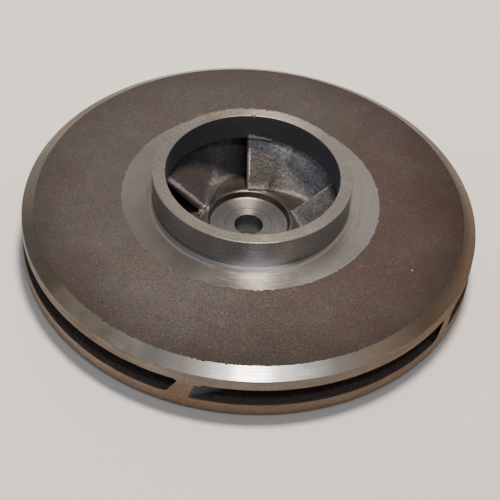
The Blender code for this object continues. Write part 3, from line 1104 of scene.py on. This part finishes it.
# Tones of painted light and shade on the bevel: lighter at 171, -104, -62, -4 and 15 degrees, darker at
# 58, 60 and 143 degrees; the warmer tints at -158 and -130 degrees are its rust.
toned(bevel_iron, (
    (171.0, 25.0, (1.70, 1.70, 1.60)),
    (-158.0, 26.0, (0.92, 0.84, 0.76)),
    (-130.0, 24.0, (1.00, 0.92, 0.80)),
    (-104.0, 18.0, (1.80, 1.80, 1.85)),
    (-62.0, 22.0, (1.60, 1.72, 1.78)),
    (-4.0, 34.0, (1.50, 1.42, 1.30), "radius", 114.6 * MM, 117.5 * MM),
    (15.0, 20.0, (1.02, 1.16, 1.28)),
    (58.0, 40.0, (0.72, 0.74, 0.75)),
    (60.0, 60.0, (0.84, 0.84, 0.83), "radius", 117.5 * MM, 114.5 * MM),
    (143.0, 30.0, (0.50, 0.52, 0.52)),
))
blotched(bevel_iron, (0.26, 0.15, 0.07), (
    (-153.0, 118.5 * MM, 5.0 * MM, 0.5),
    (-146.0, 117.5 * MM, 4.0 * MM, 0.4),
    (-138.0, 118.5 * MM, 6.0 * MM, 0.5),
    (-131.0, 116.5 * MM, 4.0 * MM, 0.35),
    (-124.0, 118.5 * MM, 5.0 * MM, 0.5),
    (-116.0, 118.7 * MM, 3.5 * MM, 0.4),
))
# Painted light in the neck's shadow on the land
painted_light_at_foot(land_iron)
# Painted highlights at the neck's foot in front, round -92 and -82 degrees, then tones of painted light
# and shade: painted shade dims the highlight beyond the foot round -106 and -85 degrees, the crescent is
# lighter round -84 and darker round -150 degrees, and the land darker round -142 degrees.
blotched(land_iron, (0.52, 0.49, 0.46), ((-92.0, 53.5 * MM, 34.0 * MM, 0.9),))
blotched(land_iron, (0.96, 0.94, 0.93), ((-82.0, 53.0 * MM, 17.0 * MM, 1.0),))
toned(land_iron, (
    (-106.0, 24.0, (0.58, 0.58, 0.59), "radius", 54.5 * MM, 57 * MM),
    (-85.0, 22.0, (0.33, 0.33, 0.33), "radius", 54.4 * MM, 56.4 * MM),
    (-84.0, 24.0, (1.74, 1.64, 1.58), "radius", 55.2 * MM, 54.2 * MM),
    (-150.0, 34.0, (0.84, 0.80, 0.75), "radius", 55.2 * MM, 54.2 * MM),
    (-142.0, 32.0, (0.86, 0.86, 0.86), "radius", 55 * MM, 57 * MM),
))
front_outline = softened([
    *[(r, top_height(r, 0.0), 0) for r in TOP_RADII],
    (DISC_RADIUS, RIM_TOP, CUT_EDGE),
    (DISC_RADIUS, roof_height(DISC_RADIUS), CUT_EDGE),
    *[(r, roof_height(r), 0) for r in even_steps(DISC_RADIUS - 1 * MM, 62 * MM, COARSE_STEP)],
    *[(r, roof_height(r), 0) for r in even_steps(60 * MM, EYE_RADIUS, FINE_STEP)],
])
front = spun(front_outline, FRONT_TURNS)
for vert in front.verts:
    radius = vert.co.xy.length
    if vert.co.z < roof_height(radius) + 0.4 * MM:
        if radius > EYE_RADIUS + 0.3 * MM:
            vert.co.z += sand_skin(vert.co, 5.0)
    elif radius < TOP_LAST_RADIUS + 0.1 * MM:
        skin = 0.3 * sand_skin(vert.co, 8.0) + 0.03 * MM * uneven(vert.co, 2.0 * MM, 3.0)
        vert.co.z = top_height(radius, skin)
front.normal_update()
for face in front.faces:
    middle = face.calc_center_median()
    radius = middle.xy.length
    ragged = BORDER_STRAY * uneven(middle, BORDER_BUMP, 2.0)
    if radius > DISC_RADIUS - 0.25 * MM:
        face.material_index = OUTER_RIM
    elif face.normal.z < -0.1:
        face.material_index = ROOF
    elif radius > BEVEL_RADIUS + ragged and face.normal.z < BEVEL_STEEP:
        face.material_index = BEVEL
    else:
        face.material_index = LAND if radius < LAND_RADIUS + ragged else TOP
finished_piece(
    "front_disc",
    front,
    [skin_iron, land_iron, rim_iron, passage_iron, bevel_iron],
    ["front_shroud"],
)

# Suction neck
# The ring round the eye, cast with the front disc and turned on all its faces to run in the pump's
# wear ring.  Handling has chipped its edges.
NECK_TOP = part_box("suction_neck")[1].z
NECK_EDGE = 0.4 * MM
# Patch of the sand's skin left low on the eye's wall
SCAR_FROM = math.radians(79.0)
SCAR_TO = math.radians(95.3)
SCAR_TALL = 2.1 * MM
SCAR_DEPTH = 0.4 * MM
WEAR_DEPTH = 0.4 * MM
NECK_STEP = 0.6 * MM
NECK_TURNS = 720
MID_WALL = 49.5 * MM
END, EYE_WALL, OUTER_WALL, SCAR_PATCH = range(4)
CHIPS = (
    # Angle round the shaft in degrees, radius, height, reach and depth
    (97.0, 52.2 * MM, 51.2 * MM, 1.6 * MM, 0.7 * MM),
    (91.0, 52.2 * MM, 51.2 * MM, 1.2 * MM, 0.5 * MM),
    (84.8, 52.2 * MM, 51.2 * MM, 1.4 * MM, 0.6 * MM),
    (92.8, 45.5 * MM, 51.2 * MM, 1.0 * MM, 0.8 * MM),
    (183.0, 45.5 * MM, 51.2 * MM, 1.0 * MM, 0.6 * MM),
    (152.4, 51.0 * MM, 51.2 * MM, 0.6 * MM, 0.3 * MM),
    (147.9, 49.0 * MM, 51.2 * MM, 0.6 * MM, 0.3 * MM),
    (38.3, 51.8 * MM, 51.2 * MM, 0.8 * MM, 0.4 * MM),
    (-14.1, 46.8 * MM, 51.2 * MM, 0.7 * MM, 0.3 * MM),
)

# The end face's side colour, pale round 75 degrees, is a painted highlight.
neck_iron = turned_iron(
    "neck_iron",
    dull=(0.218, 0.202, 0.177),
    bright=(0.307, 0.288, 0.256),
    side_colour=(0.44, 0.405, 0.36),
    side_colour_azimuth=75.0,
    side_colour_reach=20.0,
    rust=(0.15, 0.12, 0.10),
    rust_from=0.66,
    pitted=0.7,
    roughness=0.24,
    anisotropy=0.5,
    mark_depth=0.008 * MM,
)
neck_wall_iron = turned_iron(
    "neck_wall_iron",
    dull=(0.33, 0.322, 0.32),
    bright=(0.41, 0.402, 0.398),
    side_colour=(0.37, 0.352, 0.343),
    side_colour_azimuth=0.0,
    side_colour_reach=30.0,
    rust=(0.15, 0.13, 0.12),
    rust_from=0.66,
    pitted=0.15,
    roughness=0.28,
    anisotropy=0.6,
    mark_depth=0.002 * MM,
)
# Painted highlight on the neck's wall round -87 degrees, and painted reflection lightening its foot round
# -84 degrees.
toned(neck_wall_iron, (
    (-87.0, 16.0, (1.04, 1.10, 1.20)),
    (-84.0, 22.0, (1.60, 1.52, 1.46), "height", 42 * MM, 37 * MM),
))
# Painted shade: the end face is darker round 109, -98 and 172 degrees.
toned(neck_iron, (
    (109.0, 24.0, (0.70, 0.70, 0.69)),
    (-98.0, 24.0, (0.86, 0.87, 0.86)),
    (172.0, 30.0, (0.88, 0.88, 0.86)),
))
eye_wall_iron = bore_iron.copy()
eye_wall_iron.name = "eye_wall_iron"
toned(eye_wall_iron, ((0.0, 180.0, (1.30, 1.32, 1.48)),))
blotched(neck_iron, (0.34, 0.20, 0.13), (
    (-133.8, 48.5 * MM, 6.5 * MM, 0.35),
    (-146.0, 48.0 * MM, 5.0 * MM, 0.3),
    (125.6, 51.5 * MM, 3.0 * MM, 0.7),
    (108.0, 51.8 * MM, 2.5 * MM, 0.7),
    (117.0, 51.0 * MM, 4.0 * MM, 0.45),
))
neck_outline = softened([
    (EYE_RADIUS, EYE_WALL_FOOT, 0),
    (EYE_RADIUS, NECK_TOP, NECK_EDGE),
    (NECK_RADIUS, NECK_TOP, NECK_EDGE),
    (NECK_RADIUS, LAND_HEIGHT, NECK_FILLET),
    (NECK_RADIUS + NECK_FILLET, LAND_HEIGHT, 0),
])
neck = spun(divided(neck_outline, NECK_STEP), NECK_TURNS)
for angle, radius, height, reach, depth in CHIPS:
    turn = math.radians(angle)
    spot = Vector((radius * math.cos(turn), radius * math.sin(turn), height))
    inward = Vector((-spot.x, -spot.y, 0)).normalized() * (1 if radius > MID_WALL else -1)
    inward = (inward + Vector((0, 0, -1))).normalized()
    for vert in neck.verts:
        away = (vert.co - spot).length / reach
        away += 0.35 * uneven(vert.co, 0.8 * MM, angle)
        if away < 1:
            vert.co += inward * depth * (1 - away)
for vert in neck.verts:
    on_edge = vert.co.z > NECK_TOP - 0.5 * MM and vert.co.xy.length > NECK_RADIUS - 0.5 * MM
    if on_edge and vert.co.y > 0:
        worn = max(uneven(vert.co, 1.2 * MM, 4.0) - 0.1, 0.0) * WEAR_DEPTH
        vert.co.z -= worn
        vert.co.xy *= 1.0 - worn / NECK_RADIUS
on_scar = set()
for vert in neck.verts:
    along = (math.atan2(vert.co.y, vert.co.x) - SCAR_FROM) / (SCAR_TO - SCAR_FROM)
    if 0.0 < along < 1.0 and vert.co.xy.length < EYE_RADIUS + 0.1 * MM:
        ragged = SCAR_TALL * (along + 0.25 * uneven(vert.co, 1.0 * MM, 7.0))
        below = 1.0 - (vert.co.z - EYE_WALL_FOOT) / max(ragged, 0.1 * MM)
        if below > 0.0:
            on_scar.add(vert)
            proud = SCAR_DEPTH * (0.5 + uneven(vert.co, 0.9 * MM, 9.0)) * below
            vert.co.xy *= 1.0 - proud / EYE_RADIUS
for face in neck.faces:
    middle = face.calc_center_median()
    inside = middle.xy.length < EYE_RADIUS + 0.1 * MM
    if inside and any(vert in on_scar for vert in face.verts):
        face.material_index = SCAR_PATCH
    elif inside:
        face.material_index = EYE_WALL
    else:
        face.material_index = OUTER_WALL if middle.z < NECK_TOP - 0.1 * MM else END
finished_piece(
    "suction_neck_ring",
    neck,
    [neck_iron, eye_wall_iron, neck_wall_iron, painted_lit_scar_iron],
    ["suction_neck"],
)

# Table and light
# A plain pale table top.  A warm lamp stands high behind the wheel, three narrow lights in front
# of the wheel draw the bright bands on its turned faces, and a window and a backdrop fill in.
TABLE_SIZE = 3.0
TABLE_DROP = 0.05 * MM
WHEEL_FOOT = (0.0, 0.0, 0.0)

bpy.ops.mesh.primitive_plane_add(size=TABLE_SIZE, location=(0, 0, -TABLE_DROP))
table = bpy.context.object
table.name = "table"
table_paint = bpy.data.materials.new("table_paint")
table_paint.use_nodes = True
table_shader = table_paint.node_tree.nodes["Principled BSDF"]
table_shader.inputs["Base Color"].default_value = (0.80, 0.785, 0.77, 1.0)
table_shader.inputs["Roughness"].default_value = 0.6
table.data.materials.append(table_paint)

world = bpy.data.worlds.new("room")
bpy.context.scene.world = world
world.use_nodes = True
room = world.node_tree.nodes["Background"]
room.inputs["Color"].default_value = (0.78, 0.87, 1.0, 1.0)
room.inputs["Strength"].default_value = 0.24


def soft_light(name, place, aim, size, power, colour):
    """Flat soft light of that width and depth, which faces the point it is aimed at."""
    data = bpy.data.lights.new(name, "AREA")
    data.shape = "ELLIPSE"
    data.size, data.size_y = size
    data.energy = power
    data.color = colour
    light = bpy.data.objects.new(name, data)
    light.location = place
    light.rotation_euler = (Vector(aim) - Vector(place)).to_track_quat("-Z", "Y").to_euler()
    bpy.context.scene.collection.objects.link(light)


soft_light("lamp", (0.06, 0.345, 1.70), (-0.69, 0.935, 0.0), (0.28, 0.44), 51.0, (1.0, 0.86, 0.72))
soft_light("front_lamp", (0.085, -0.478, 0.85), WHEEL_FOOT, (0.20, 0.07), 0.70, (1.0, 0.95, 0.90))
soft_light("front_glow", (0.09, -0.47, 0.86), WHEEL_FOOT, (0.48, 0.10), 0.26, (1.0, 0.97, 0.93))
soft_light("front_haze", (0.10, -0.41, 0.87), WHEEL_FOOT, (1.20, 0.24), 0.22, (1.0, 0.98, 0.95))
soft_light("window", (-0.90, -0.25, 0.90), WHEEL_FOOT, (0.9, 0.7), 0.5, (0.80, 0.90, 1.0))
soft_light("backdrop", (0.0, 1.25, 1.05), WHEEL_FOOT, (2.4, 1.2), 6.0, (1.0, 0.95, 0.90))
